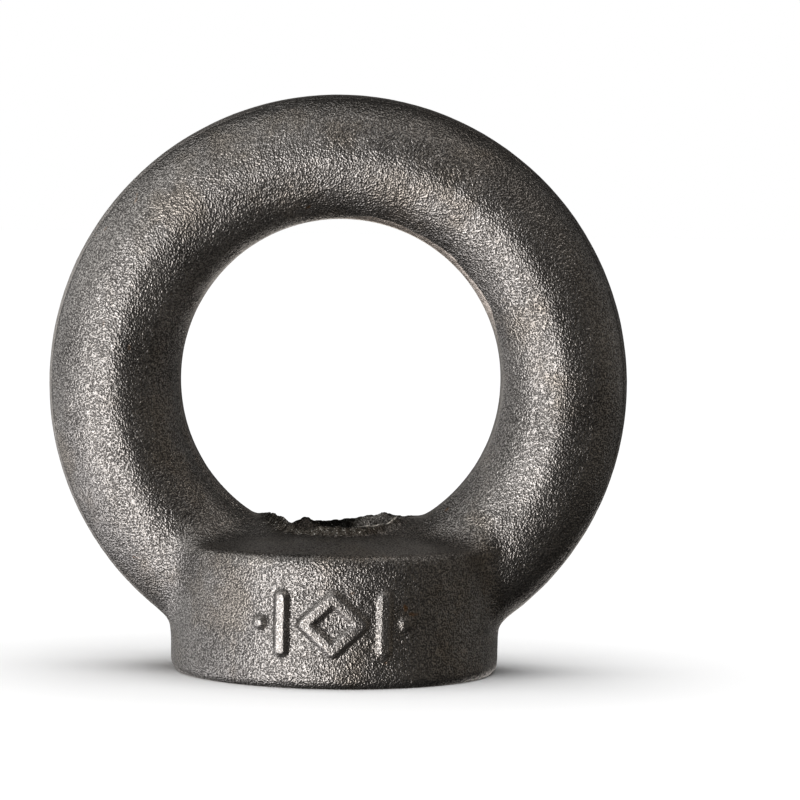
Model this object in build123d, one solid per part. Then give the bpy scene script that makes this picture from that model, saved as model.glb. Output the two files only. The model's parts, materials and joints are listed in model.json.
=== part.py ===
"""Lifting eye nut for an M16 stud, drop forged in one piece and tapped from below.

Millimetres. +Z is up along the tapped hole, the ring stands in the XZ plane, and the origin
is the centre of the hole on the bearing face.

The two forging dies meet in the plane of the ring. They leave a round bar bent into a ring,
on a round collar with a low shoulder, a drafted ridge over the collar from one root of the
bar to the other, and a web of flash across the eye. A trimming die then shears the outline,
and a D-shaped punch shears the eye, a little off the ring's centre. That leaves flat lands on
the bar, wide where the punch bit into it and narrow where it cut only flash, and a flat seat
along the ridge. The drill comes up from the bearing face and tears the seat as it breaks out.
"""

from build123d import *

import os
from math import cos, pi, radians, sin, sqrt, tan

# Ring
EYE_WIDTH = 35.0  # clear width of the eye, between the sheared lands
BAR_DEPTH = 14.0  # bar in the plane of the ring, from land to land
BAR_THICKNESS = 14.3  # round bar as forged, across the plane of the ring

# Collar
COLLAR_DIAMETER = 35.8
COLLAR_WALL = 14.0  # bearing face to the sharp corner of the rim
SHOULDER_SLOPE = 8.0  # degrees, rising inwards from the rim
RIM_ROUND = 1.0
FOOT_ROUND = 1.0
EYE_SINK = 0.2  # how far the lowest point of the ring's inner circle lies below the rim

# Ridge over the collar, between the roots of the bar
SEAT_RISE = 0.334  # from the apex that the shoulder would have up to the sheared seat
RIDGE_SHEARED = 0.2  # how much of the ridge's height the punch sheared off
RIDGE_DRAFT = 17.5  # degrees, how steeply the ridge falls to the front and back
RIDGE_INSET = 2.05  # the least that the ridge's foot ends short of the middle of the bar
RIDGE_MARGIN = 2.6  # the least that it ends short of the collar's wall
RIDGE_BLEND = 4.0  # fillet where the ridge runs out

# Forging and trimming
BLEND = 4.2  # fillet all along the seam between bar and collar
FLASH = 2.4  # thickness of the web of flash across the eye
PUNCH_RIGHT = 0.3  # how far the punch struck to the +X side of the ring's centre
PUNCH_HIGH = 0.5  # how far it struck above the ring's centre
SEAT_CORNER = 1.0  # rounded corners of the punch, where the seat meets the eye's circle
TRIM_CORNER = 1.2  # rounded corners of the die, where the ring meets the collar

# Tapped hole
THREAD_SIZE = 16.0
THREAD_PITCH = 2.0
COUNTERSINK_DIAMETER = 17.0
COUNTERSINK_ANGLE = 90.0  # degrees, included

# Torn mouth of the hole
TEAR_DEPTH = 3.0  # how far below the seat the metal is torn
# How far the tear reaches out at the seat, in equal steps from +X round by the back.
TEAR_REACHES = (
    0.5, 0.8, 0.5, 0.7, 1.4, 1.9, 2.3, 2.6, 3.0, 1.7, 0.9, 0.6,
    0.8, 0.5, 0.8, 0.6, 1.0, 0.7, 0.6, 1.2, 0.6, 0.9, 0.5, 0.7,
)

# Worked out from the sizes above
EYE_RADIUS = EYE_WIDTH / 2
RING_MEAN_RADIUS = EYE_RADIUS + BAR_DEPTH / 2
RING_OUTER_RADIUS = EYE_RADIUS + BAR_DEPTH
RING_CENTRE_HEIGHT = COLLAR_WALL - EYE_SINK + EYE_RADIUS
COLLAR_RADIUS = COLLAR_DIAMETER / 2
SHOULDER_APEX = COLLAR_WALL + COLLAR_RADIUS * tan(radians(SHOULDER_SLOPE))
SEAT_HEIGHT = SHOULDER_APEX + SEAT_RISE
BAR_ROOT = sqrt(RING_MEAN_RADIUS**2 - (RING_CENTRE_HEIGHT - COLLAR_WALL)**2)  # middle of the bar at the rim
RIDGE_HALF_LENGTH = min(BAR_ROOT - RIDGE_INSET, COLLAR_RADIUS - RIDGE_MARGIN)
SEAT_BELOW_PUNCH = RING_CENTRE_HEIGHT + PUNCH_HIGH - SEAT_HEIGHT
SEAT_HALF_LENGTH = sqrt(EYE_RADIUS**2 - SEAT_BELOW_PUNCH**2)  # the chord that the seat cuts off
MINOR_SHARE = 1.0825  # ISO 68-1: a nut's minor diameter is its size less this share of the pitch
CORE_RADIUS = (THREAD_SIZE - MINOR_SHARE * THREAD_PITCH) / 2
CLEAR = 1.0  # how far a cutting tool runs past the metal
THROUGH = BAR_THICKNESS + COLLAR_DIAMETER  # long enough to cut across the whole part


def in_ring_plane(shape, right=0, high=0):
    """Turn a shape made about Z into the ring's plane, on the ring's centre or a little off it."""
    return Pos(right, 0, RING_CENTRE_HEIGHT + high) * Rot(90, 0, 0) * shape


def block_below(height):
    """A block wider than the part that fills everything under a height."""
    width = 2 * (RING_OUTER_RADIUS + CLEAR)
    return Pos(0, 0, height) * Box(width, THROUGH, width, align=(Align.CENTER, Align.CENTER, Align.MAX))


def round_ended(length, width, height):
    """A round-ended outline along X, level, centred on the hole's axis."""
    return Pos(0, 0, height) * SlotOverall(length, width)


def bar_ring():
    """The round bar bent into a ring, with nothing left below the bearing face."""
    ring = in_ring_plane(Torus(RING_MEAN_RADIUS, BAR_THICKNESS / 2))
    return ring - block_below(0)


def collar():
    """The round collar: upright wall, rounded foot and rim, and the low conical shoulder."""
    wall_top = (COLLAR_RADIUS, COLLAR_WALL)
    half_section = Polyline((0, 0), (COLLAR_RADIUS, 0), wall_top, (0, SHOULDER_APEX), close=True)
    solid = revolve(Plane.XZ * make_face(half_section), axis=Axis.Z)
    rim = solid.edges().filter_by(GeomType.CIRCLE).sort_by(Axis.Z)[-1]
    solid = fillet(rim, RIM_ROUND)
    foot = solid.edges().filter_by(GeomType.CIRCLE).sort_by(Axis.Z)[0]
    return fillet(foot, FOOT_ROUND)


def ridge():
    """The ridge as forged: a round-ended bank whose long sides fall at the draft."""
    top_height = SEAT_HEIGHT + RIDGE_SHEARED
    top_length = 2 * (SEAT_HALF_LENGTH + PUNCH_RIGHT)
    spread = (top_height - COLLAR_WALL) / tan(radians(RIDGE_DRAFT))
    foot = round_ended(2 * RIDGE_HALF_LENGTH, FLASH + 2 * spread, COLLAR_WALL)
    top = round_ended(top_length, FLASH, top_height)
    return loft([foot.face(), top.face()], ruled=True)


def flash_web():
    """The thin web of flash that closes the eye until it is punched."""
    return in_ring_plane(Cylinder(RING_MEAN_RADIUS, FLASH))


def rough_forging():
    """Ring, collar, ridge and flash as they leave the dies, with fillets where they meet."""
    ring = bar_ring()
    base = collar()
    forging = ring + base
    seam = new_edges(ring, base, combined=forging)
    seam = seam.filter_by(lambda edge: edge.bounding_box().max.Z > BLEND)
    forging = fillet(seam, BLEND)
    bank = ridge()
    ridged = forging + bank
    forging = fillet(new_edges(forging, bank, combined=ridged), RIDGE_BLEND)
    return forging + flash_web()


def trimming_die():
    """Everything inside the die that shears the outline: a disc on the breadth of the collar."""
    disc = in_ring_plane(Cylinder(RING_OUTER_RADIUS, THROUGH))
    upright = Box(COLLAR_DIAMETER, THROUGH, RING_CENTRE_HEIGHT, align=(Align.CENTER, Align.CENTER, Align.MIN))
    outline = disc + upright
    corners = outline.edges().filter_by(Axis.Y).filter_by_position(Axis.Z, CLEAR, RING_CENTRE_HEIGHT - CLEAR)
    return fillet(corners, TRIM_CORNER)


def eye_punch():
    """The D-shaped punch that shears the eye: round, with a flat that leaves the seat."""
    punch = in_ring_plane(Cylinder(EYE_RADIUS, THROUGH), PUNCH_RIGHT, PUNCH_HIGH)
    punch -= block_below(SEAT_HEIGHT)
    return fillet(punch.edges().filter_by(Axis.Y), SEAT_CORNER)


def drilled_hole():
    """The core hole of the thread with its countersink, open through the seat."""
    mouth_radius = COUNTERSINK_DIAMETER / 2
    flare = tan(radians(COUNTERSINK_ANGLE / 2))
    half_section = Polyline(
        (0, -CLEAR),
        (mouth_radius + CLEAR * flare, -CLEAR),
        (CORE_RADIUS, (mouth_radius - CORE_RADIUS) / flare),
        (CORE_RADIUS, SEAT_HEIGHT + CLEAR),
        (0, SEAT_HEIGHT + CLEAR),
        close=True,
    )
    return revolve(Plane.XZ * make_face(half_section), axis=Axis.Z)


def torn_metal():
    """What the drill tore out as it broke through: a ragged funnel, widest at the back."""

    def ragged_outline(height, share):
        """The edge of the tear at one height, at a share of its reach."""
        points = []
        for step, reach in enumerate(TEAR_REACHES):
            radius = CORE_RADIUS + reach * share
            angle = 2 * pi * step / len(TEAR_REACHES)
            points.append((radius * cos(angle), radius * sin(angle), height))
        return make_face(Polyline(*points, close=True))

    root = ragged_outline(SEAT_HEIGHT - TEAR_DEPTH, 0)
    mouth = ragged_outline(SEAT_HEIGHT + CLEAR, 1 + CLEAR / TEAR_DEPTH)
    return loft([root, mouth], ruled=True)


def eye_nut():
    """The finished piece: forged, trimmed outside and inside, drilled, and torn at the exit."""
    forging = rough_forging() & trimming_die()
    return forging - eye_punch() - drilled_hole() - torn_metal()


os.makedirs("parts", exist_ok=True)
nut = eye_nut()
nut.label = "eye_nut"
export_step(nut, "parts/eye_nut.step")
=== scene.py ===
"""Looks of the forged lifting eye nut: its skin, torn mouth, raised marks, thread and machined faces.

Shapes are worked in millimetres on the workbench and set to metres when a piece is finished.
+Z runs up the tapped hole and the ring stands in the XZ plane.
"""

from __future__ import annotations

import json
import logging
from collections.abc import Iterable
from dataclasses import dataclass
from enum import Enum
from math import atan2, cos, degrees, hypot, pi, radians, sin

import bmesh
import bpy
from mathutils import Matrix, Quaternion, Vector, noise

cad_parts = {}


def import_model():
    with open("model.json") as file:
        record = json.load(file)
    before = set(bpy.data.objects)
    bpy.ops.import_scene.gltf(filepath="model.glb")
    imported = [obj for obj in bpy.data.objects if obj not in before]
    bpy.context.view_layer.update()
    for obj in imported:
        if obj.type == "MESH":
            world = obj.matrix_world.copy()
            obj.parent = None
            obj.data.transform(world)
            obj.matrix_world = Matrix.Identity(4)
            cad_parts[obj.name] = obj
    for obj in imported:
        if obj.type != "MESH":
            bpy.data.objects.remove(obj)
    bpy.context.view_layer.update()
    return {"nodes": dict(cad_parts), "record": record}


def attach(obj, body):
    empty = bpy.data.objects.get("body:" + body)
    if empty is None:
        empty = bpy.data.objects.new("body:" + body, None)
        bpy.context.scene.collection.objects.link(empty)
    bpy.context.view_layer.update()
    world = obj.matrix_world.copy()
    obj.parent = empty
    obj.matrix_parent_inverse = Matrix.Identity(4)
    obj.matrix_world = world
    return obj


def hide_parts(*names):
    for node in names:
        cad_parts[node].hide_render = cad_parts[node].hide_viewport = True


LOG = logging.getLogger("eye_nut")
MM = 0.001


class Skin(Enum):
    """The finishes of the one piece, in the order of its material slots."""

    FORGED = 0
    MACHINED = 1


def smooth_step(value: float, low: float, high: float) -> float:
    """Ease from 0 at low to 1 at high; low may be the larger of the two.

    Args:
        value: What is eased.
        low: Where the result is 0.
        high: Where the result is 1.

    Returns:
        A number from 0 to 1.
    """
    share = min(max((value - low) / (high - low), 0.0), 1.0)
    return share * share * (3.0 - 2.0 * share)


class Workbench:
    """Mesh tools shared by the pieces. Everything on the bench is in millimetres."""

    @staticmethod
    def new_object(name: str, bm: bmesh.types.BMesh) -> bpy.types.Object:
        """Put a bmesh into a new linked object and free it.

        Args:
            name: Name of the object and its mesh.
            bm: The shape.

        Returns:
            The new object.
        """
        mesh = bpy.data.meshes.new(name)
        bm.to_mesh(mesh)
        bm.free()
        made = bpy.data.objects.new(name, mesh)
        bpy.context.scene.collection.objects.link(made)
        return made

    @staticmethod
    def discard(thing: bpy.types.Object) -> None:
        """Take a tool or blank off the bench."""
        mesh = thing.data
        bpy.data.objects.remove(thing)
        bpy.data.meshes.remove(mesh)

    @staticmethod
    def apply_modifiers(thing: bpy.types.Object) -> None:
        """Make the shape that an object's modifiers give its own mesh."""
        bpy.context.view_layer.update()
        graph = bpy.context.evaluated_depsgraph_get()
        shaped = bpy.data.meshes.new_from_object(thing.evaluated_get(graph))
        old = thing.data
        thing.modifiers.clear()
        thing.data = shaped
        bpy.data.meshes.remove(old)

    @classmethod
    def cut(cls, thing: bpy.types.Object, tool: bpy.types.Object) -> None:
        """Cut a tool's shape out of a piece, then discard the tool."""
        saw = thing.modifiers.new("cut", "BOOLEAN")
        saw.operation = "DIFFERENCE"
        saw.solver = "EXACT"
        saw.object = tool
        cls.apply_modifiers(thing)
        cls.discard(tool)

    @staticmethod
    def tube(
        bm: bmesh.types.BMesh, radius: float, low: float, high: float, high_radius: float = 0.0
    ) -> None:
        """Add a closed round bar about Z to a bmesh.

        Args:
            bm: Takes the bar.
            radius: Radius at the lower end.
            low: Height of the lower end.
            high: Height of the upper end.
            high_radius: Radius at the upper end, where it differs.
        """
        bmesh.ops.create_cone(
            bm,
            cap_ends=True,
            segments=128,
            radius1=radius,
            radius2=high_radius or radius,
            depth=high - low,
            matrix=Matrix.Translation((0.0, 0.0, (low + high) / 2)),
        )


@dataclass(frozen=True)
class LipPoint:
    """One named point of the torn rim, seen from above.

    Args:
        direction: Degrees from +X round by the back.
        radius: Distance of the rim from the hole's axis.
        rise: How far the lip stands above the metal around it.
        drawn: How far the drill drew the rim in over the hole.
    """

    direction: float
    radius: float
    rise: float
    drawn: float = 0.0


@dataclass(frozen=True)
class PaintedLightStretch:
    """A stretch of the torn mouth painted lighter than the metal round it, as painted light.

    Args:
        middle: Direction of its middle, in degrees from +X round by the back.
        fades_at: How far from the middle it has faded away, in degrees.
        full_to: How far from the middle it has its full share, in degrees.
        share: How bright it is at the most.
    """

    middle: float
    fades_at: float
    full_to: float
    share: float

    def at(self, turned: float) -> float:
        """How bright the stretch is in a direction."""
        return self.share * smooth_step(abs(turned - self.middle), self.fades_at, self.full_to)


@dataclass
class TornMouth:
    """The lip and the ragged metal that the drill left where it broke through the seat."""

    root_height: float = 13.85
    seat_height: float = 16.85
    spare_height: float = 1.6
    lip_width: float = 1.5
    tear_width: float = 1.5
    roughness: float = 0.085
    # Directions where painted shade darkens the wall inside the far rim
    painted_shade_from: float = 66.0
    painted_shade_to: float = 128.0
    crest_from: float = 106.0
    clean_from: float = 292.0
    clean_to: float = 318.0
    # Where the painted highlight runs along the lip's crest, and the stretches of painted light
    highlight_line_from: float = 280.0
    highlight_line_to: float = 346.0
    left_crest: PaintedLightStretch = PaintedLightStretch(212.0, 24.0, 14.0, 0.4)
    side_wall: PaintedLightStretch = PaintedLightStretch(45.0, 32.0, 24.0, 0.3)
    hump_wall: PaintedLightStretch = PaintedLightStretch(118.0, 11.0, 6.0, 0.35)
    chips: tuple[tuple[float, float], ...] = ((1.7, 1.0), (4.1, 0.7))
    rim: tuple[LipPoint, ...] = (
        LipPoint(0.0, 7.3, -0.05),
        LipPoint(14.0, 7.4, 0.0),
        LipPoint(31.0, 7.3, 0.6),
        LipPoint(44.0, 7.3, 1.25),
        LipPoint(62.0, 7.8, 1.05),
        LipPoint(76.0, 8.0, 0.65),
        LipPoint(90.0, 8.3, 0.35),
        LipPoint(100.0, 8.3, 0.22),
        LipPoint(106.5, 8.35, 0.3),
        LipPoint(114.5, 8.4, 0.82),
        LipPoint(119.0, 8.4, 0.5),
        LipPoint(125.0, 8.3, 0.05),
        LipPoint(134.0, 8.1, 0.0),
        LipPoint(150.0, 7.6, 0.0),
        LipPoint(166.0, 7.3, 0.1),
        LipPoint(176.0, 7.3, 0.3, 0.45),
        LipPoint(188.0, 7.3, 0.45, 0.4),
        LipPoint(202.0, 7.3, 0.85, 0.5),
        LipPoint(211.0, 7.3, 1.15, 0.5),
        LipPoint(219.0, 7.35, 1.12, 0.35),
        LipPoint(228.0, 7.4, 0.98, 0.1),
        LipPoint(236.0, 7.4, 0.76),
        LipPoint(243.0, 7.35, 0.76),
        LipPoint(262.0, 7.4, 0.97),
        LipPoint(275.0, 7.4, 1.0),
        LipPoint(288.0, 7.4, 1.05),
        LipPoint(303.0, 7.3, 1.05),
        LipPoint(316.0, 7.3, 0.98),
        LipPoint(323.0, 7.3, 0.95),
        LipPoint(330.0, 7.3, 1.05),
        LipPoint(338.0, 7.3, 0.62),
        LipPoint(348.0, 7.3, 0.12),
        LipPoint(360.0, 7.3, -0.05),
    )

    def rim_at(self, direction: float) -> LipPoint:
        """The rim in a direction, eased between the named points.

        Args:
            direction: Degrees from +X round by the back.

        Returns:
            The rim's own point there.
        """
        turned = direction % 360.0
        before, after = next(pair for pair in zip(self.rim, self.rim[1:]) if turned <= pair[1].direction)
        share = smooth_step(turned, before.direction, after.direction)
        return LipPoint(
            turned,
            before.radius + (after.radius - before.radius) * share,
            before.rise + (after.rise - before.rise) * share,
            before.drawn + (after.drawn - before.drawn) * share,
        )

    def holds(self, spot: Vector) -> bool:
        """Whether a point is near enough to the mouth to need the finer mesh."""
        in_height = self.root_height - 0.3 < spot.z < self.seat_height + self.spare_height
        reach = self.rim_at(degrees(atan2(spot.y, spot.x))).radius + self.lip_width
        return in_height and hypot(spot.x, spot.y) < reach

    def past_rim(self, spot: Vector) -> tuple[float, float]:
        """A point's direction in degrees, and how far outside the rim it lies."""
        turned = degrees(atan2(spot.y, spot.x)) % 360.0
        return turned, hypot(spot.x, spot.y) - self.rim_at(turned).radius

    def torn_share(self, spot: Vector) -> float:
        """How torn the metal is at a point, from 0 to 1."""
        if not self.holds(spot):
            return 0.0
        turned, past = self.past_rim(spot)
        clean = 1.0 - 0.5 * smooth_step(turned, self.clean_from, self.clean_to)
        ragged = 1.0 + 0.5 * noise.noise(Vector((turned / 4.0, 2.0, 0.0)))
        width = self.tear_width * clean * ragged
        across = smooth_step(past, width, width * 0.55)
        return across * smooth_step(spot.z, self.root_height, self.root_height + 0.5)

    def painted_shade_share(self, spot: Vector) -> float:
        """How much painted shade darkens the wall at a point inside the far rim, from 0 to 1."""
        turned, past = self.past_rim(spot)
        within = smooth_step(turned, self.painted_shade_from, self.painted_shade_from + 16.0)
        within *= smooth_step(turned, self.painted_shade_to, self.painted_shade_to - 8.0)
        high = smooth_step(spot.z, self.root_height + 1.2, self.root_height + 1.4)
        within *= 1.0 - (1.0 - high) * smooth_step(turned, self.crest_from - 4.0, self.crest_from + 2.0)
        return within * smooth_step(past, -0.1, -0.3) if self.holds(spot) else 0.0

    def painted_light_share(self, spot: Vector) -> float:
        """How much painted light lies at a point: a painted highlight along the lip's crest and the left
        crest, and painted light on the open parts of the wall, from 0 to 1.
        """
        turned, past = self.past_rim(spot)
        crest = smooth_step(turned, self.highlight_line_from, self.highlight_line_from + 12.0)
        crest *= smooth_step(turned, self.highlight_line_to, self.highlight_line_to - 12.0)
        crest += self.left_crest.at(turned)
        low = smooth_step(spot.z, self.root_height + 1.35, self.root_height + 1.15)
        wall = self.side_wall.at(turned) + self.hump_wall.at(turned) * low
        share = crest * smooth_step(abs(past - 0.2), 0.26, 0.1) + wall * smooth_step(past, 0.0, -0.15)
        return share if self.holds(spot) else 0.0

    def lift(self, spot: Vector) -> Vector:
        """Where the tearing moves a point of the smooth mouth.

        Args:
            spot: A point of the surface.

        Returns:
            The way it moves, in millimetres.
        """
        direction = degrees(atan2(spot.y, spot.x))
        rim = self.rim_at(direction)
        ragged = noise.noise(Vector((direction / 5.0, 0.0, 3.0)))
        share = smooth_step(hypot(spot.x, spot.y) - rim.radius, self.lip_width, 0.05) ** 1.7
        share *= smooth_step(spot.z, self.root_height, self.root_height + 1.4)
        inwards = Vector((-cos(radians(direction)), -sin(radians(direction)), 0.0))
        move = inwards * rim.drawn * share
        move.z = rim.rise * share * (1.0 + 0.15 * ragged)
        torn = self.torn_share(spot) * self.roughness
        for pitch, height in self.chips:
            move += noise.noise_vector(spot * pitch) * torn * height
        return move


@dataclass
class RaisedMarks:
    """Generic forging marks on the front of the collar: a lozenge between two bars and two pips."""

    wall_radius: float = 17.9
    middle_height: float = 6.9
    stroke: float = 1.0
    height: float = 0.75
    lozenge_half_width: float = 3.0
    half_height: float = 2.75
    bar_offset: float = 5.5
    pip_offset: float = 7.9
    rubbed: float = 0.6

    def strokes(self) -> list[tuple[Vector, Vector]]:
        """The middle lines of the strokes, across and up the unrolled collar wall."""
        wide = Vector((self.lozenge_half_width, 0.0))
        tall = Vector((0.0, self.half_height))
        corners = [wide, tall, -wide, -tall]
        lines = [(corners[i], corners[(i + 1) % 4]) for i in range(4)]
        for side in (-1.0, 1.0):
            bar = Vector((side * self.bar_offset, 0.0))
            pip = Vector((side * self.pip_offset, 0.0))
            lines.append((bar - tall, bar + tall))
            lines.append((pip, pip))
        return lines

    def unrolled(self, spot: Vector) -> Vector:
        """A point's place on the unrolled wall, across and up from the middle of the marks."""
        return Vector((self.wall_radius * atan2(spot.x, -spot.y), spot.z - self.middle_height))

    def holds(self, spot: Vector) -> bool:
        """Whether a point is near enough to the marks to need the finer mesh."""
        if spot.y > 0.0 or hypot(spot.x, spot.y) < self.wall_radius - 0.5:
            return False
        place = self.unrolled(spot)
        return abs(place.x) < self.pip_offset + 1.6 and abs(place.y) < self.half_height + 1.6

    def rise(self, spot: Vector) -> float:
        """How far the marks lift the wall at a point.

        Args:
            spot: A point of the collar's wall.

        Returns:
            Millimetres outwards.
        """
        place = self.unrolled(spot)
        nearest = min(self.distance(place, start, end) for start, end in self.strokes())
        worn = 1.0 - 0.035 * (place.x + self.pip_offset)
        return self.height * worn * smooth_step(nearest, self.stroke, self.stroke * 0.35)

    def worn_share(self, spot: Vector) -> float:
        """How smooth the tops of the marks are rubbed at a point, from 0 to 1."""
        return self.rubbed * self.rise(spot) / self.height if self.holds(spot) else 0.0

    @staticmethod
    def distance(place: Vector, start: Vector, end: Vector) -> float:
        """Distance from a place to a stroke's middle line."""
        along = end - start
        length = along.length_squared
        share = min(max((place - start).dot(along) / length, 0.0), 1.0) if length else 0.0
        return (place - start - along * share).length


@dataclass
class TappedHole:
    """The ISO metric thread cut from below, with its countersink and the faced bearing surface."""

    core_radius: float
    major_radius: float = 8.0
    pitch: float = 2.0
    top: float = 14.5
    below: float = 1.5
    countersink_radius: float = 8.5
    steps_per_turn: int = 96

    def tap(self) -> bpy.types.Object:
        """The rod that cuts the thread: one pitch of its outline spun up in a helix."""
        bm = bmesh.new()
        root_flat = self.pitch / 4
        crest_flat = self.pitch / 8
        flank = (self.pitch - root_flat - crest_flat) / 2
        start = -self.below - 2 * self.pitch
        outline = (
            (self.core_radius, 0.0),
            (self.core_radius, root_flat),
            (self.major_radius, root_flat + flank),
            (self.major_radius, root_flat + flank + crest_flat),
            (self.core_radius, self.pitch),
        )
        verts = [bm.verts.new((radius, 0.0, start + height)) for radius, height in outline]
        edges = [bm.edges.new(pair) for pair in zip(verts, verts[1:])]
        turns = int((self.top - start) / self.pitch) + 2
        bmesh.ops.spin(
            bm,
            geom=verts + edges,
            cent=(0.0, 0.0, 0.0),
            axis=(0.0, 0.0, 1.0),
            dvec=(0.0, 0.0, self.pitch / self.steps_per_turn),
            angle=2 * pi * turns,
            steps=self.steps_per_turn * turns,
            use_merge=False,
        )
        bmesh.ops.remove_doubles(bm, verts=bm.verts, dist=0.001)
        self.part_off(bm, -self.below, -1.0)
        self.part_off(bm, self.top, 1.0)
        bmesh.ops.recalc_face_normals(bm, faces=bm.faces)
        order = Vector((1.0, 61.0, 3301.0))
        bm.verts.sort(key=lambda vert: vert.co.dot(order))
        bm.faces.sort(key=lambda face: face.calc_center_median().dot(order))
        return Workbench.new_object("tap", bm)

    @staticmethod
    def part_off(bm: bmesh.types.BMesh, height: float, side: float) -> None:
        """Cut a rod square at a height and close its end.

        Args:
            bm: The rod.
            height: Where it is cut.
            side: 1 to drop what is above the cut, -1 to drop what is below.
        """
        geometry = bm.verts[:] + bm.edges[:] + bm.faces[:]
        cut = bmesh.ops.bisect_plane(
            bm, geom=geometry, plane_co=(0.0, 0.0, height), plane_no=(0.0, 0.0, side), clear_outer=True
        )
        rim = [piece for piece in cut["geom_cut"] if isinstance(piece, bmesh.types.BMEdge)]
        bmesh.ops.contextual_create(bm, geom=rim)

    def countersink(self) -> bpy.types.Object:
        """The 90 degree cone that opens the foot of the hole."""
        bm = bmesh.new()
        depth = self.countersink_radius - self.core_radius + 1.0
        Workbench.tube(
            bm,
            self.countersink_radius + self.below,
            -self.below,
            depth,
            self.countersink_radius - depth,
        )
        return Workbench.new_object("countersink", bm)

    def facing(self, reach: float) -> bpy.types.Object:
        """The block of air under the bearing face."""
        bm = bmesh.new()
        bmesh.ops.create_cube(bm, size=2 * reach, matrix=Matrix.Translation((0.0, 0.0, -reach)))
        return Workbench.new_object("facing", bm)

    def machined(self, middle: Vector, normal: Vector) -> bool:
        """Whether a face of the finished piece was left by a cutting tool."""
        if abs(middle.z) < 0.01 and normal.z < -0.99:
            return True
        radius = hypot(middle.x, middle.y)
        return radius < self.countersink_radius and middle.z < self.top - 0.8


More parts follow.
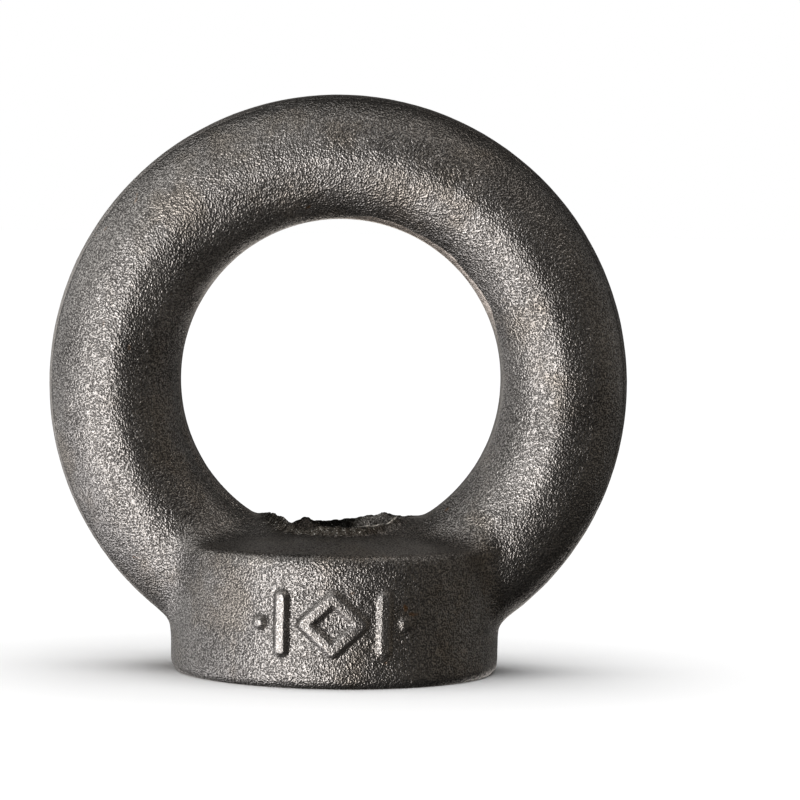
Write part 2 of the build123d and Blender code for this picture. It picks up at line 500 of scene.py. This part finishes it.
@dataclass
class EyeNut:
    """The one forged piece, taken from its CAD node and given the marks of its making."""

    mouth: TornMouth
    marks: RaisedMarks
    hole: TappedHole
    node: str = "eye_nut"
    name: str = "forged_eye_nut"
    seed: int = 5
    grid: float = 0.42
    spare: float = 1.2
    face_radius: float = 16.9
    ring_height: float = 31.3
    ring_outer: float = 31.5
    ring_middle: float = 24.5
    crest_width: float = 3.2
    crest_height: float = 0.11
    punch_right: float = 0.3
    punch_height: float = 31.8
    eye_radius: float = 17.5
    waves: tuple[tuple[float, float], ...] = ((0.22, 0.05), (0.6, 0.035), (1.5, 0.022))

    def blank(self, node: bpy.types.Object) -> bpy.types.Object:
        """A closed copy of the CAD solid with its bore plugged and metal to spare under its face.

        Args:
            node: The CAD node's object.

        Returns:
            The blank, in millimetres.
        """
        bm = bmesh.new()
        bm.from_mesh(node.data)
        bmesh.ops.scale(bm, vec=(1 / MM,) * 3, verts=bm.verts)
        bmesh.ops.remove_doubles(bm, verts=bm.verts, dist=0.0005)
        Workbench.tube(bm, self.hole.core_radius + 0.4, -0.6, self.mouth.root_height - 0.4)
        Workbench.tube(bm, self.face_radius, -self.spare, 0.5)
        return Workbench.new_object(self.name, bm)

    def regrid(self, blank: bpy.types.Object) -> None:
        """Give the blank one even skin of quads, with its edges worn a little."""
        wear = blank.modifiers.new("skin", "REMESH")
        wear.mode = "VOXEL"
        wear.voxel_size = self.grid
        Workbench.apply_modifiers(blank)

    def forge(self, blank: bpy.types.Object) -> None:
        """Refine the mesh at the mouth and the marks, and move its skin as forging and tearing did."""
        noise.seed_set(self.seed)
        bm = bmesh.new()
        bm.from_mesh(blank.data)
        for _ in range(2):
            bmesh.ops.smooth_vert(
                bm, verts=bm.verts, factor=0.5, use_axis_x=True, use_axis_y=True, use_axis_z=True
            )
        for zone, cuts in ((self.marks, 2), (self.mouth, 3)):
            fine = [edge for edge in bm.edges if all(zone.holds(vert.co) for vert in edge.verts)]
            bmesh.ops.subdivide_edges(bm, edges=fine, cuts=cuts, use_grid_fill=True)
        bmesh.ops.triangulate(bm, faces=[face for face in bm.faces if len(face.verts) > 4])
        bm.normal_update()
        sheared = bm.verts.layers.float.new("sheared")
        torn = bm.verts.layers.float.new("torn")
        worn = bm.verts.layers.float.new("worn")
        # Painted shade: a dark colour put on the wall inside the far rim, where the hole lies in shade
        painted_shade = bm.verts.layers.float.new("painted_shade")
        moves = []
        for vert in bm.verts:
            vert[sheared] = self.sheared_share(vert.co, vert.normal)
            vert[torn] = self.mouth.torn_share(vert.co)
            # worn holds real wear on the marks' tops plus painted light and a painted highlight line at the
            # mouth
            vert[worn] = self.marks.worn_share(vert.co) + self.mouth.painted_light_share(vert.co)
            vert[painted_shade] = self.mouth.painted_shade_share(vert.co)
            moves.append(self.move(vert.co, vert.normal, vert[sheared]))
        for vert, move in zip(bm.verts, moves):
            vert.co += move
        bm.to_mesh(blank.data)
        bm.free()

    def sheared_share(self, spot: Vector, normal: Vector) -> float:
        """How surely a point lies on metal that the trimming tools sheared, from 0 to 1."""
        level = 1.0 - abs(normal.y)
        outer = abs(hypot(spot.x, spot.z - self.ring_height) - self.ring_outer)
        eye = abs(hypot(spot.x - self.punch_right, spot.z - self.punch_height) - self.eye_radius)
        eye += max(self.mouth.seat_height - spot.z, 0.0)
        seat = abs(spot.z - self.mouth.seat_height) + max(abs(spot.x) - 10.0, 0.0)
        flat = smooth_step(min(outer, seat), 0.14, 0.03) * smooth_step(level, 0.7, 0.95)
        return max(flat, smooth_step(eye, 0.3, 0.12) * smooth_step(level, 0.45, 0.7))

    def crest_line(self, spot: Vector) -> float:
        """How far the blunt line along the front and back of the bar stands out at a point."""
        turned = atan2(spot.x, spot.z - self.ring_height)
        side = smooth_step(abs(turned + radians(105.0)), radians(50.0), radians(10.0))
        across = hypot(spot.x, spot.z - self.ring_height) - self.ring_middle + 0.9 * side
        if abs(spot.y) < 4.0 or abs(across) > self.crest_width or spot.z < self.mouth.seat_height + 1.0:
            return 0.0
        height = self.crest_height * (1.0 + 0.75 * side)
        wander = 0.3 * noise.noise(Vector((turned * 3.0, 1.0, 0.0)))
        return height * (smooth_step(abs(across - wander), self.crest_width, 0.0) ** 2 - 0.3)

    def move(self, spot: Vector, normal: Vector, sheared: float) -> Vector:
        """How far forging, marking and tearing move a point of the skin."""
        calm = smooth_step(spot.z, -0.3, 0.6) * (1.0 - 0.7 * sheared)
        rough = sum(height * noise.noise(spot * pitch) for pitch, height in self.waves)
        move = normal * (rough + self.crest_line(spot)) * calm
        if self.marks.holds(spot):
            move += normal * self.marks.rise(spot)
        if self.mouth.holds(spot):
            move += self.mouth.lift(spot)
        return move

    def finish_faces(self, piece: bpy.types.Object) -> None:
        """Name each face's finish, keep machined edges crisp and set the mesh to metres."""
        bm = bmesh.new()
        bm.from_mesh(piece.data)
        bmesh.ops.remove_doubles(bm, verts=bm.verts, dist=0.0005)
        self.drop_folds(bm)
        for face in bm.faces:
            face.smooth = True
            machined = self.hole.machined(face.calc_center_median(), face.normal)
            face.material_index = Skin.MACHINED.value if machined else Skin.FORGED.value
        for edge in bm.edges:
            cut_face = any(face.material_index for face in edge.link_faces)
            edge.smooth = not (cut_face and edge.calc_face_angle(0.0) > radians(25.0))
        bmesh.ops.scale(bm, vec=(MM,) * 3, verts=bm.verts)
        bm.to_mesh(piece.data)
        bm.free()

    def drop_folds(self, bm: bmesh.types.BMesh) -> None:
        """Take out slivers that the cutting left folded back to back, with their bare edges."""
        reach = self.hole.countersink_radius
        cut = [
            face for face in bm.faces if hypot(*face.calc_center_median().xy) < reach or len(face.verts) > 4
        ]
        bmesh.ops.triangulate(bm, faces=cut)
        sides: dict[frozenset[bmesh.types.BMVert], list[bmesh.types.BMFace]] = {}
        for face in bm.faces:
            sides.setdefault(frozenset(face.verts), []).append(face)
        folded = [face for pair in sides.values() if len(pair) > 1 for face in pair]
        bmesh.ops.delete(bm, geom=folded, context="FACES_ONLY")
        bare = [edge for edge in bm.edges if not edge.link_faces]
        bmesh.ops.delete(bm, geom=bare, context="EDGES")

    def build(self, node: bpy.types.Object, skins: dict[Skin, bpy.types.Material]) -> bpy.types.Object:
        """Make the whole piece.

        Args:
            node: The CAD node that it replaces.
            skins: The material of each finish.

        Returns:
            The finished piece, in metres.
        """
        piece = self.blank(node)
        self.regrid(piece)
        self.forge(piece)
        for tool in (self.hole.facing(self.ring_outer + 5.0), self.hole.tap(), self.hole.countersink()):
            Workbench.cut(piece, tool)
        piece.data.materials.clear()
        for skin in Skin:
            piece.data.materials.append(skins[skin])
        self.finish_faces(piece)
        return piece


class Nodes:
    """A short hand for building one node tree."""

    def __init__(self, tree: bpy.types.NodeTree) -> None:
        """Start on an empty tree."""
        self.tree = tree
        tree.nodes.clear()

    def add(self, kind: str, values: dict[str, object] | None = None, **settings: object) -> bpy.types.Node:
        """Add a node.

        Args:
            kind: The node's type without ShaderNode.
            values: Input socket name to a constant, or to the socket that feeds it.
            settings: Properties of the node.

        Returns:
            The node.
        """
        node = self.tree.nodes.new(kind if kind.startswith("Node") else "ShaderNode" + kind)
        for key, value in settings.items():
            setattr(node, key, value)
        wanted = values or {}
        self.feed([node.inputs[key] for key in wanted], wanted.values())
        return node

    def feed(self, sockets: Iterable[bpy.types.NodeSocket], values: Iterable[object]) -> None:
        """Set each socket to its constant, or link it to the socket that feeds it."""
        for socket, value in zip(sockets, values):
            if isinstance(value, bpy.types.NodeSocket):
                self.tree.links.new(value, socket)
            else:
                socket.default_value = value

    def noise(
        self, place: bpy.types.NodeSocket, scale: object, detail: float, roughness: float = 0.5
    ) -> bpy.types.NodeSocket:
        """Add a noise of so many waves per metre and return its value, from 0 to 1."""
        values = {"Vector": place, "Scale": scale, "Detail": detail, "Roughness": roughness}
        return self.add("TexNoise", values).outputs["Fac"]

    def math(
        self, operation: str, first: object, second: object = 0.0, third: object = 0.0
    ) -> bpy.types.NodeSocket:
        """Add a Math node and return its result."""
        node = self.add("Math", operation=operation)
        self.feed(node.inputs, (first, second, third))
        return node.outputs[0]

    def ramp(self, value: bpy.types.NodeSocket, low: float, high: float) -> bpy.types.NodeSocket:
        """Map low to 0 and high to 1, clamped, and return the result."""
        span = {"Value": value, "From Min": low, "From Max": high}
        return self.add("MapRange", span, interpolation_type="SMOOTHSTEP").outputs["Result"]

    def length(self, across: bpy.types.NodeSocket, up: bpy.types.NodeSocket) -> bpy.types.NodeSocket:
        """The distance that two coordinates give from their origin."""
        flat = self.add("CombineXYZ", {"X": across, "Y": up}).outputs[0]
        return self.add("VectorMath", {0: flat}, operation="LENGTH").outputs["Value"]

    def attribute(self, name: str) -> bpy.types.NodeSocket:
        """The value that an attribute of the mesh has here."""
        return self.add("Attribute", attribute_name=name).outputs["Fac"]

    def metal(
        self,
        colour: bpy.types.NodeSocket,
        rough: bpy.types.NodeSocket,
        height: bpy.types.NodeSocket,
        distance: float,
        strength: float,
    ) -> None:
        """End a material as bare metal.

        Args:
            colour: Its colour.
            rough: Its roughness.
            height: The height of its grain, from 0 to about 1.
            distance: How many metres a height of 1 stands for.
            strength: How much of that height is used.
        """
        bump = self.add("Bump", {"Height": height, "Distance": distance, "Strength": strength})
        values = {"Base Color": colour, "Metallic": 1.0, "Roughness": rough, "Normal": bump.outputs["Normal"]}
        shader = self.add("BsdfPrincipled", values)
        self.add("OutputMaterial", {"Surface": shader.outputs["BSDF"]})

    def mix(self, share: object, first: object, second: object) -> bpy.types.NodeSocket:
        """Mix two colours and return the result."""
        node = self.add("Mix", data_type="RGBA")
        self.feed((node.inputs[0], node.inputs[6], node.inputs[7]), (share, first, second))
        return node.outputs[2]


@dataclass(frozen=True)
class BlastedGrain:
    """The grain that shot blasting leaves on steel, as a group of its own."""

    name: str = "blasted_grain"

    def build(self) -> bpy.types.NodeTree:
        """Make the group: in go a place and a grain size, out come a height and how high it stands.

        Returns:
            The node group.
        """
        group = bpy.data.node_groups.new(self.name, "ShaderNodeTree")
        face = group.interface
        face.new_socket("Place", in_out="INPUT", socket_type="NodeSocketVector")
        face.new_socket("Grains per metre", in_out="INPUT", socket_type="NodeSocketFloat")
        face.new_socket("Height", in_out="OUTPUT", socket_type="NodeSocketFloat")
        face.new_socket("Crest", in_out="OUTPUT", socket_type="NodeSocketFloat")
        nodes = Nodes(group)
        into = nodes.add("NodeGroupInput")
        place, count = into.outputs["Place"], into.outputs["Grains per metre"]
        grains = nodes.noise(place, count, 0.4)
        waves = nodes.noise(place, nodes.math("MULTIPLY", count, 0.4), 0.5)
        height = nodes.math("MULTIPLY_ADD", waves, 0.55, grains)
        nodes.add("NodeGroupOutput", {"Height": height, "Crest": nodes.ramp(grains, 0.41, 0.60)})
        return group


@dataclass(frozen=True)
class ForgedSteel:
    """Dark shot-blasted forging skin, with sheared lands, torn metal and a few specks of rust; with painted
    shade in the grain's pits and inside the mouth, and painted glints and highlights.
    """

    grain: bpy.types.NodeTree
    name: str = "blasted_forging"
    grains_per_metre: float = 5300.0
    ring_height: float = 0.0313
    groove_radius: float = 0.03112
    punch_right: float = 0.0003
    punch_height: float = 0.0318
    eye_radius: float = 0.0175
    dark: tuple[float, float, float, float] = (0.050, 0.046, 0.043, 1.0)
    light: tuple[float, float, float, float] = (0.46, 0.435, 0.41, 1.0)
    land: tuple[float, float, float, float] = (0.46, 0.43, 0.40, 1.0)
    brown: tuple[float, float, float, float] = (0.40, 0.34, 0.27, 1.0)
    torn: tuple[float, float, float, float] = (0.078, 0.068, 0.056, 1.0)
    punched: tuple[float, float, float, float] = (0.80, 0.71, 0.63, 1.0)
    # Painted glints on the torn metal, and the painted highlight along the lip's crest
    painted_glint: tuple[float, float, float, float] = (0.90, 0.87, 0.80, 1.0)
    # Painted shade for the wall inside the far rim
    painted_shade: tuple[float, float, float, float] = (0.012, 0.012, 0.011, 1.0)
    rust: tuple[float, float, float, float] = (0.30, 0.16, 0.07, 1.0)

    def trim_line(
        self, nodes: Nodes, place: bpy.types.NodeSocket
    ) -> tuple[bpy.types.NodeSocket, bpy.types.NodeSocket, bpy.types.NodeSocket]:
        """Find the fine groove where the trimming die met the bar, and the strip beyond it.

        Args:
            nodes: The material's nodes.
            place: The Object coordinates.

        Returns:
            Masks of the groove, of the strip, and of the stretch on the left where the strip gets a painted
            highlight.
        """
        parts = nodes.add("SeparateXYZ", {"Vector": place}).outputs
        high = nodes.math("SUBTRACT", parts["Z"], self.ring_height)
        radius = nodes.length(parts["X"], high)
        wander = nodes.noise(place, 250.0, 2.0)
        radius = nodes.math("MULTIPLY_ADD", wander, 0.0002, radius)
        near = nodes.math("LESS_THAN", nodes.math("ABSOLUTE", parts["Y"]), 0.0045)
        near = nodes.math("MULTIPLY", near, nodes.math("GREATER_THAN", parts["Z"], 0.008))
        line = nodes.math("ABSOLUTE", nodes.math("SUBTRACT", radius, self.groove_radius))
        groove = nodes.math("MULTIPLY", nodes.ramp(line, 0.00013, 0.00005), nodes.ramp(wander, 0.35, 0.5))
        beyond = nodes.ramp(radius, self.groove_radius, self.groove_radius + 0.0001)
        beyond = nodes.math("MULTIPLY", beyond, near)
        # Painted highlight: the strip is painted lighter only on the left, the side the light falls on
        bright = nodes.math("MULTIPLY", beyond, nodes.ramp(parts["X"], -0.006, -0.014))
        return nodes.math("MULTIPLY", groove, near), beyond, bright

    def punched_edge(
        self, nodes: Nodes, place: bpy.types.NodeSocket
    ) -> tuple[bpy.types.NodeSocket, bpy.types.NodeSocket]:
        """Find the bright rolled edge where the punch broke into the bar, widest at the upper right.

        Args:
            nodes: The material's nodes.
            place: The Object coordinates.

        Returns:
            A mask of the edge, and how it rises towards the eye.
        """
        parts = nodes.add("SeparateXYZ", {"Vector": place}).outputs
        right = nodes.math("SUBTRACT", parts["X"], self.punch_right)
        high = nodes.math("SUBTRACT", parts["Z"], self.punch_height)
        radius = nodes.length(right, high)
        ragged = nodes.noise(place, 420.0, 3.0)
        towards = nodes.math("MULTIPLY_ADD", high, 0.80, nodes.math("MULTIPLY", right, 0.60))
        share = nodes.ramp(towards, 0.0125, 0.0165)
        width = nodes.math("MULTIPLY", share, nodes.math("MULTIPLY_ADD", ragged, 0.0005, 0.00028))
        inside = nodes.math("SUBTRACT", nodes.math("ADD", self.eye_radius, width), radius)
        edge = nodes.math("MULTIPLY", nodes.ramp(inside, -0.00003, 0.00003), share)
        return edge, nodes.math("MULTIPLY", edge, nodes.math("MULTIPLY", inside, 4500.0))

    def skin_colour(
        self, nodes: Nodes, place: bpy.types.NodeSocket, crest: bpy.types.NodeSocket
    ) -> bpy.types.NodeSocket:
        """The blasted skin: painted shade in the grain's pits under lighter crests, in broad clouds of tone,
        stained brown in places.

        Args:
            nodes: The material's nodes.
            place: The Object coordinates.
            crest: How high the grain stands, from 0 to 1.

        Returns:
            The colour.
        """
        clouds = nodes.noise(place, 160.0, 3.0, 0.6)
        # Tone follows the grain's height: painted shade in its pits, plus broad clouds of tone at random
        tone_and_pit_shade = nodes.math("MULTIPLY_ADD", crest, 0.6, nodes.math("MULTIPLY_ADD", clouds, 0.6, -0.09))
        stains = nodes.noise(place, 110.0, 4.0, 0.65)
        stained = nodes.math("MULTIPLY", nodes.ramp(stains, 0.5, 0.68), 0.5)
        plain = nodes.mix(tone_and_pit_shade, self.dark, self.light)
        return nodes.mix(stained, plain, nodes.mix(tone_and_pit_shade, self.dark, self.brown))

    def torn_colour(self, nodes: Nodes, place: bpy.types.NodeSocket) -> bpy.types.NodeSocket:
        """Broken metal: dark, with painted glints here and there."""
        # Painted glints: bright specks of colour standing in for sparkles of light
        facets = nodes.noise(place, 4600.0, 1.5)
        return nodes.mix(nodes.ramp(facets, 0.60, 0.76), self.torn, self.painted_glint)

    def rusty_share(self, nodes: Nodes, place: bpy.types.NodeSocket) -> bpy.types.NodeSocket:
        """Where the few specks of rust lie."""
        specks = nodes.ramp(nodes.noise(place, 420.0, 2.0), 0.7, 0.78)
        patches = nodes.ramp(nodes.noise(place, 70.0, 1.0), 0.52, 0.62)
        return nodes.math("MULTIPLY", specks, patches)

    def build(self) -> bpy.types.Material:
        """Make the material."""
        material = bpy.data.materials.new(self.name)
        material.use_nodes = True
        nodes = Nodes(material.node_tree)
        place = nodes.add("TexCoord").outputs["Object"]
        grain = nodes.add("Group", node_tree=self.grain)
        nodes.feed(grain.inputs, (place, self.grains_per_metre))
        crest = grain.outputs["Crest"]
        torn, worn = nodes.attribute("torn"), nodes.attribute("worn")
        groove, beyond, bright = self.trim_line(nodes, place)
        punched, rolled = self.punched_edge(nodes, place)
        bare = nodes.math("MULTIPLY", torn, nodes.math("MULTIPLY_ADD", worn, -0.95, 0.95))
        colour = self.skin_colour(nodes, place, crest)
        for share, most, over in (
            # worn: real wear on the marks' tops, and painted light at the mouth
            (worn, 0.85, self.light),
            (bright, 0.9, self.land),
            # Painted highlight on the left-hand stretch of the trimmed strip
            (groove, 0.6, self.dark),
            (nodes.attribute("sheared"), 0.75, self.land),
            (punched, 0.9, self.punched),
            (bare, 1.0, self.torn_colour(nodes, place)),
            # Painted shade: near-black colour on the wall inside the far rim, where the hole lies in shade
            (nodes.attribute("painted_shade"), 0.93, self.painted_shade),
            # Painted highlight: only the mouth's painted crest line reaches the glint colour
            (nodes.ramp(worn, 0.65, 0.95), 1.0, self.painted_glint),
            (self.rusty_share(nodes, place), 1.0, self.rust),
        ):
            colour = nodes.mix(nodes.math("MULTIPLY", share, most), colour, over)
        rough = nodes.math("MULTIPLY_ADD", crest, -0.1, 0.46)
        unworn = nodes.math("MULTIPLY_ADD", worn, -0.8, 1.0)
        height = nodes.math("MULTIPLY", grain.outputs["Height"], unworn)
        height = nodes.math("MULTIPLY_ADD", beyond, 0.7, height)
        height = nodes.math("MULTIPLY_ADD", height, nodes.math("MULTIPLY_ADD", punched, -0.6, 1.0), rolled)
        nodes.metal(colour, rough, height, 0.00012, 1.0)
        return material


@dataclass(frozen=True)
class MachinedSteel:
    """Bright steel with fine turning marks round the hole's axis."""

    name: str = "machined_steel"
    bright: tuple[float, float, float, float] = (0.52, 0.51, 0.49, 1.0)
    dull: tuple[float, float, float, float] = (0.36, 0.35, 0.33, 1.0)

    def build(self) -> bpy.types.Material:
        """Make the material."""
        material = bpy.data.materials.new(self.name)
        material.use_nodes = True
        nodes = Nodes(material.node_tree)
        place = nodes.add("TexCoord").outputs["Object"]
        parts = nodes.add("SeparateXYZ", {"Vector": place}).outputs
        across = nodes.math("ADD", nodes.length(parts["X"], parts["Y"]), parts["Z"])
        rings = nodes.add("TexNoise", {"W": across, "Scale": 9000.0, "Detail": 2.0}, noise_dimensions="1D")
        stain = nodes.noise(place, 240.0, 3.0)
        colour = nodes.mix(nodes.ramp(stain, 0.4, 0.7), self.bright, self.dull)
        rough = nodes.math("MULTIPLY_ADD", stain, 0.2, 0.22)
        nodes.metal(colour, rough, rings.outputs["Fac"], 0.00002, 0.8)
        return material


# Colours of the light, from a north window to a lamp
COOL = (0.97, 0.965, 1.0)
WARM = (1.0, 0.95, 0.90)
LAMP = (1.0, 0.89, 0.75)


@dataclass(frozen=True)
class SoftBox:
    """A rectangular studio light that faces the piece."""

    name: str
    azimuth: float
    elevation: float
    distance: float
    width: float
    height: float
    power: float
    colour: tuple[float, float, float] = (1.0, 1.0, 1.0)

    def build(self, aim: Vector, lit: bpy.types.Collection) -> bpy.types.Object:
        """Hang the light.

        Args:
            aim: The point that it faces.
            lit: What it lights, and what throws its shadows.

        Returns:
            The light's object.
        """
        data = bpy.data.lights.new(self.name, "AREA")
        data.shape = "RECTANGLE"
        data.size = self.width
        data.size_y = self.height
        data.energy = self.power
        data.color = self.colour
        light = bpy.data.objects.new(self.name, data)
        light.visible_camera = False
        away = direction(self.azimuth, self.elevation)
        light.location = aim + away * self.distance
        light.rotation_euler = away.to_track_quat("Z", "Y").to_euler()
        light.light_linking.receiver_collection = lit
        light.light_linking.blocker_collection = lit
        bpy.context.scene.collection.objects.link(light)
        return light


def direction(azimuth: float, elevation: float) -> Vector:
    """The way from the piece to something round it.

    Args:
        azimuth: Degrees round from the front towards +X.
        elevation: Degrees above the level.

    Returns:
        A unit vector.
    """
    turn, rise = radians(azimuth), radians(elevation)
    return Vector((sin(turn) * cos(rise), -cos(turn) * cos(rise), sin(rise)))


@dataclass
class Studio:
    """The pale floor, the soft light and the camera."""

    aim_height: float = 0.0305
    camera_azimuth: float = 0.585
    camera_elevation: float = 3.06
    camera_roll: float = 0.8
    camera_distance: float = 0.41
    lens: float = 168.8
    shift: tuple[float, float] = (0.0776, -0.0113)
    floor_radius: float = 4.0
    floor_sun: float = 3.9
    glow: float = 0.015
    boxes: tuple[SoftBox, ...] = (
        SoftBox("window", -36.0, 3.0, 0.7, 0.42, 0.30, 1.80),
        SoftBox("low_window", -36.0, -28.0, 0.7, 0.40, 0.35, 1.25, COOL),
        SoftBox("near_strip", -26.0, 3.0, 0.7, 0.20, 0.30, 0.75, COOL),
        SoftBox("near_low", -15.0, -25.0, 0.7, 0.20, 0.25, 1.05, WARM),
        SoftBox("high_side", -92.0, 30.0, 0.7, 0.45, 0.30, 0.99),
        SoftBox("low_side", -90.0, -30.0, 0.7, 0.45, 0.35, 1.30, COOL),
        SoftBox("top_left", -60.0, 65.0, 0.7, 0.30, 0.30, 0.77),
        SoftBox("top_right", 60.0, 60.0, 0.7, 0.30, 0.30, 0.53, WARM),
        SoftBox("right", 85.0, 0.0, 0.7, 0.30, 0.60, 0.19, LAMP),
        SoftBox("back_left", -130.0, 0.0, 0.7, 0.30, 0.60, 0.72),
        SoftBox("back_right", 125.0, 10.0, 0.7, 0.30, 0.60, 0.18),
        SoftBox("back", 180.0, 20.0, 0.7, 0.40, 0.30, 0.08, WARM),
        SoftBox("back_low", 175.0, -25.0, 0.7, 0.60, 0.30, 0.76, WARM),
    )

    @property
    def aim(self) -> Vector:
        """The point that the camera and the lights face."""
        return Vector((0.0, 0.0, self.aim_height))

    def camera(self) -> None:
        """Set up the camera."""
        data = bpy.data.cameras.new("camera")
        data.lens = self.lens
        data.shift_x, data.shift_y = self.shift
        data.clip_start = 0.01
        camera = bpy.data.objects.new("camera", data)
        away = direction(self.camera_azimuth, self.camera_elevation)
        camera.location = self.aim + away * self.camera_distance
        roll = Quaternion((0.0, 0.0, 1.0), radians(self.camera_roll))
        camera.rotation_euler = (away.to_track_quat("Z", "Y") @ roll).to_euler()
        bpy.context.scene.collection.objects.link(camera)
        bpy.context.scene.camera = camera

    def floor(self) -> None:
        """Lay the pale floor."""
        bm = bmesh.new()
        bmesh.ops.create_circle(bm, cap_ends=True, segments=128, radius=self.floor_radius)
        floor = Workbench.new_object("floor", bm)
        material = bpy.data.materials.new("pale_floor")
        material.use_nodes = True
        nodes = Nodes(material.node_tree)
        shader = nodes.add("BsdfPrincipled", {"Base Color": (0.9, 0.9, 0.9, 1.0), "Roughness": 0.7})
        nodes.add("OutputMaterial", {"Surface": shader.outputs["BSDF"]})
        floor.data.materials.append(material)
        floor.visible_glossy = False
        floor.visible_diffuse = False
        self.floor_light(floor)

    def air(self) -> None:
        """White behind the piece, with only a weak glow for the piece itself."""
        world = bpy.data.worlds.new("studio")
        world.use_nodes = True
        nodes = Nodes(world.node_tree)
        seen = nodes.add("LightPath").outputs["Is Camera Ray"]
        glow = nodes.add("Background", {"Color": (1.0, 0.98, 0.96, 1.0), "Strength": self.glow})
        white = nodes.add("Background", {"Color": (1.0, 1.0, 1.0, 1.0), "Strength": 1.0})
        both = nodes.add("MixShader", {0: seen, 1: glow.outputs[0], 2: white.outputs[0]})
        nodes.add("OutputWorld", {"Surface": both.outputs[0]})
        bpy.context.scene.world = world

    def floor_light(self, floor: bpy.types.Object) -> None:
        """Light the floor alone from straight above, softly."""
        lit = bpy.data.collections.new("lit_floor")
        lit.objects.link(floor)
        data = bpy.data.lights.new("floor_light", "SUN")
        data.energy = self.floor_sun
        data.angle = radians(70.0)
        light = bpy.data.objects.new("floor_light", data)
        light.light_linking.receiver_collection = lit
        bpy.context.scene.collection.objects.link(light)

    def lights(self, piece: bpy.types.Object) -> None:
        """Hang the soft boxes round the piece, high and low, as if it stood on clear glass."""
        lit = bpy.data.collections.new("lit_piece")
        lit.objects.link(piece)
        for box in self.boxes:
            box.build(self.aim, lit)

    def build(self, piece: bpy.types.Object) -> None:
        """Set up the whole studio.

        Args:
            piece: What the soft boxes light.
        """
        self.camera()
        self.floor()
        self.air()
        self.lights(piece)
        bpy.context.scene.view_settings.view_transform = "Standard"


def main() -> None:
    """Load the frame, build the piece and the studio, and report."""
    logging.basicConfig(level=logging.INFO, format="%(name)s: %(message)s")
    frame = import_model()
    thread = next(mount for mount in frame["record"]["mounts"] if mount["name"] == "thread")
    core_radius = thread["dims"]["r_mm"]
    LOG.info("the thread's core has a radius of %s mm", core_radius)
    skins = {
        Skin.FORGED: ForgedSteel(BlastedGrain().build()).build(),
        Skin.MACHINED: MachinedSteel().build(),
    }
    nut = EyeNut(TornMouth(), RaisedMarks(), TappedHole(core_radius))
    piece = nut.build(frame["nodes"][nut.node], skins)
    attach(piece, "root")
    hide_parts(nut.node)
    Studio().build(piece)
    LOG.info("%s has %d faces", piece.name, len(piece.data.polygons))


if __name__ == "__main__":
    main()
